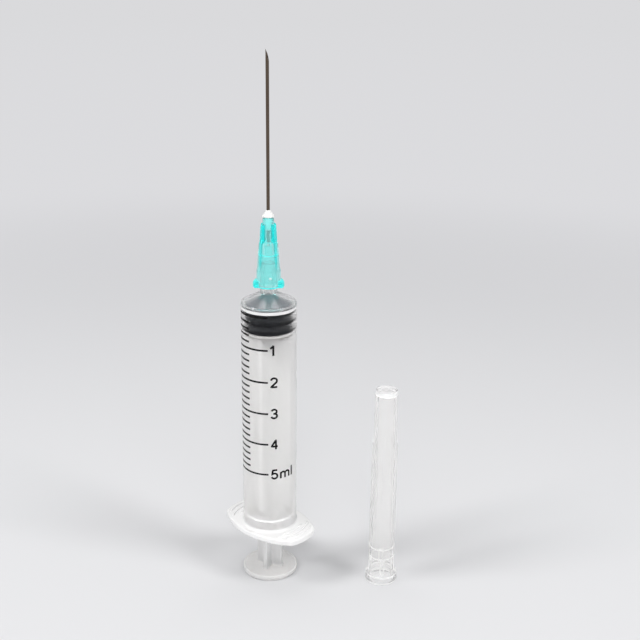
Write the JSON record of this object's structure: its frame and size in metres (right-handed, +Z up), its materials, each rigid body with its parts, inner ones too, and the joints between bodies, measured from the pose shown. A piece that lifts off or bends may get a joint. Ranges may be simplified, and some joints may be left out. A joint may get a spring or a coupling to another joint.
{
  "type": "luer slip syringe",
  "caption": "Disposable slip-tip syringe standing on its thumb disc, with a fitted needle and the needle's cap taken off beside it.",
  "frame": {"origin": "centre of the thumb disc's underside, on the surface that the syringe stands on", "axes": "+Z up along the syringe towards the needle's point, +X towards the cap that stands beside it"},
  "size_m": [0.0457, 0.0228, 0.1371],
  "materials": {
    "clear_plastic": "clear, slightly milky",
    "black_ink": "printed",
    "frosted_plastic": "frosted",
    "dark_rubber": "satin",
    "tinted_plastic": "see-through turquoise",
    "steel": "drawn",
    "white_resin": "opaque",
    "cap_plastic": "clear, slightly milky"
  },
  "bodies": {
    "plunger": {"plunger_rod": "frosted_plastic", "stopper": "dark_rubber", "needle_cap": "cap_plastic"},
    "barrel": {"barrel": "clear_plastic", "scale_marks": "black_ink"},
    "needle": {"needle_hub": "tinted_plastic", "needle_cannula": "steel", "needle_adhesive": "white_resin"}
  },
  "joints": [
    {"name": "plunger_draw", "type": "slide", "parent": "plunger", "child": "barrel", "axis": [0, 0, 1], "range_m": [0, 0.0497]},
    {"name": "needle_pull", "type": "slide", "parent": "barrel", "child": "needle", "axis": [0, 0, 1], "range_m": [0, 0.012]}
  ]
}
